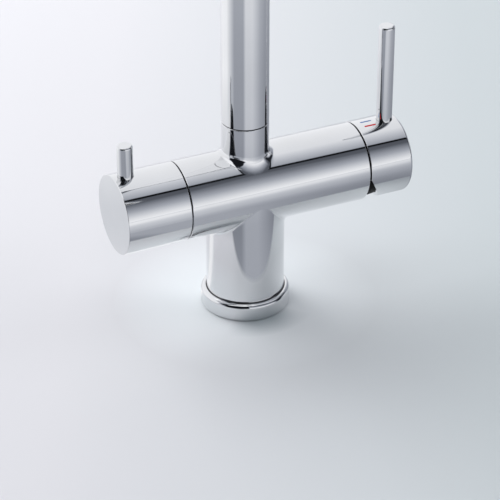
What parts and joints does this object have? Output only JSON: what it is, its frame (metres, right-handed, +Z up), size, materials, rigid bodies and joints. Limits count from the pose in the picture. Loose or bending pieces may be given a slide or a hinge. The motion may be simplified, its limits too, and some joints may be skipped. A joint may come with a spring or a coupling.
{
  "type": "kitchen mixer tap",
  "caption": "Chrome kitchen mixer tap with a horizontal barrel body, side mixer lever, quarter-turn filter-water handle and a swivelling gooseneck spout.",
  "frame": {"origin": "on the worktop, at the axis of the pillar and the spout's swivel", "axes": "+Z up, +X along the barrel towards the mixer lever, -Y towards the user and the sink"},
  "size_m": [0.1821, 0.2206, 0.488],
  "materials": {
    "chrome_body": "polished chrome plate on cast brass",
    "chrome_base": "polished chrome plate on turned brass",
    "chrome_spout": "polished chrome plate on drawn tube",
    "chrome_handle": "polished chrome plate",
    "brass": "plain turned brass",
    "copper_tube": "drawn copper tube",
    "zinc_steel": "zinc plated steel",
    "screw_steel": "stainless steel",
    "black_rubber": "black rubber",
    "seal_rubber": "black sealing rubber",
    "black_plastic": "black glide plastic",
    "grey_plastic": "grey moulded plastic",
    "white_plastic": "white glide plastic",
    "inner_tube_plastic": "food safe tube",
    "disc_ceramic": "lapped ceramic"
  },
  "bodies": {
    "tap_body": {"body_casting": "chrome_body", "base_ring": "chrome_base", "base_gasket": "black_rubber", "inlet_block": "brass", "block_o_ring": "seal_rubber", "hot_supply_tube": "copper_tube", "cold_supply_tube": "copper_tube", "filter_supply_tube": "copper_tube", "mounting_stud": "zinc_steel", "spout_stop_screw": "screw_steel", "inner_tube_o_ring": "seal_rubber", "port_plate": "grey_plastic", "port_seals": "seal_rubber", "fixed_disc": "disc_ceramic", "cartridge_housing": "grey_plastic", "clamp_ring": "brass", "dome_ring": "black_plastic", "valve_body": "brass", "valve_washer": "seal_rubber", "valve_seat_seal": "seal_rubber", "valve_fixed_disc": "disc_ceramic"},
    "spout": {"spout_tube": "chrome_spout", "filter_water_tube": "inner_tube_plastic", "spout_foot": "brass", "spout_glide_ring": "black_plastic", "spout_o_rings": "seal_rubber", "outlet_bush": "brass", "aerator_housing": "chrome_base", "aerator_insert": "grey_plastic", "aerator_washer": "seal_rubber"},
    "turret": {"mixing_turret": "white_plastic", "stem_pin": "screw_steel"},
    "mixing_disc": {"moving_disc": "disc_ceramic", "disc_carrier": "white_plastic"},
    "mixer_lever": {"stem": "screw_steel", "lever_cap": "chrome_handle", "lever_rod": "chrome_handle", "cap_set_screw": "screw_steel"},
    "filter_handle": {"valve_spindle": "brass", "valve_moving_disc": "disc_ceramic", "spindle_o_rings": "seal_rubber", "spindle_clip": "screw_steel", "filter_cap": "chrome_handle", "knob_set_screw": "screw_steel", "filter_pin": "chrome_handle"},
    "deck_clamp": {"clamp_washer": "black_rubber", "clamp_plate": "zinc_steel", "clamp_nut": "brass"}
  },
  "joints": [
    {"name": "spout_swivel", "type": "hinge", "parent": "tap_body", "child": "spout", "pos_m": [0, 0, 0.121], "axis": [0, 0, 1], "range_deg": [-75, 75]},
    {"name": "temperature", "type": "hinge", "parent": "tap_body", "child": "turret", "pos_m": [0.0745, 0, 0.0781], "axis": [1, 0, 0], "range_deg": [-45, 45]},
    {"name": "flow", "type": "hinge", "parent": "turret", "child": "mixer_lever", "pos_m": [0.0745, 0, 0.0781], "axis": [0, 1, 0], "range_deg": [0, 25]},
    {"name": "disc_slide", "type": "slide", "parent": "turret", "child": "mixing_disc", "axis": [0, 0, 1], "range_m": [0, 0.00507]},
    {"name": "filter_turn", "type": "hinge", "parent": "tap_body", "child": "filter_handle", "pos_m": [-0.06, 0, 0.0781], "axis": [1, 0, 0], "range_deg": [0, 90]},
    {"name": "clamp_travel", "type": "slide", "parent": "tap_body", "child": "deck_clamp", "axis": [0, 0, 1], "range_m": [-0.015, 0.025]}
  ],
  "couplings": [
    {"joint": "disc_slide", "follows": "flow", "m_per_rad": 0.011622}
  ]
}
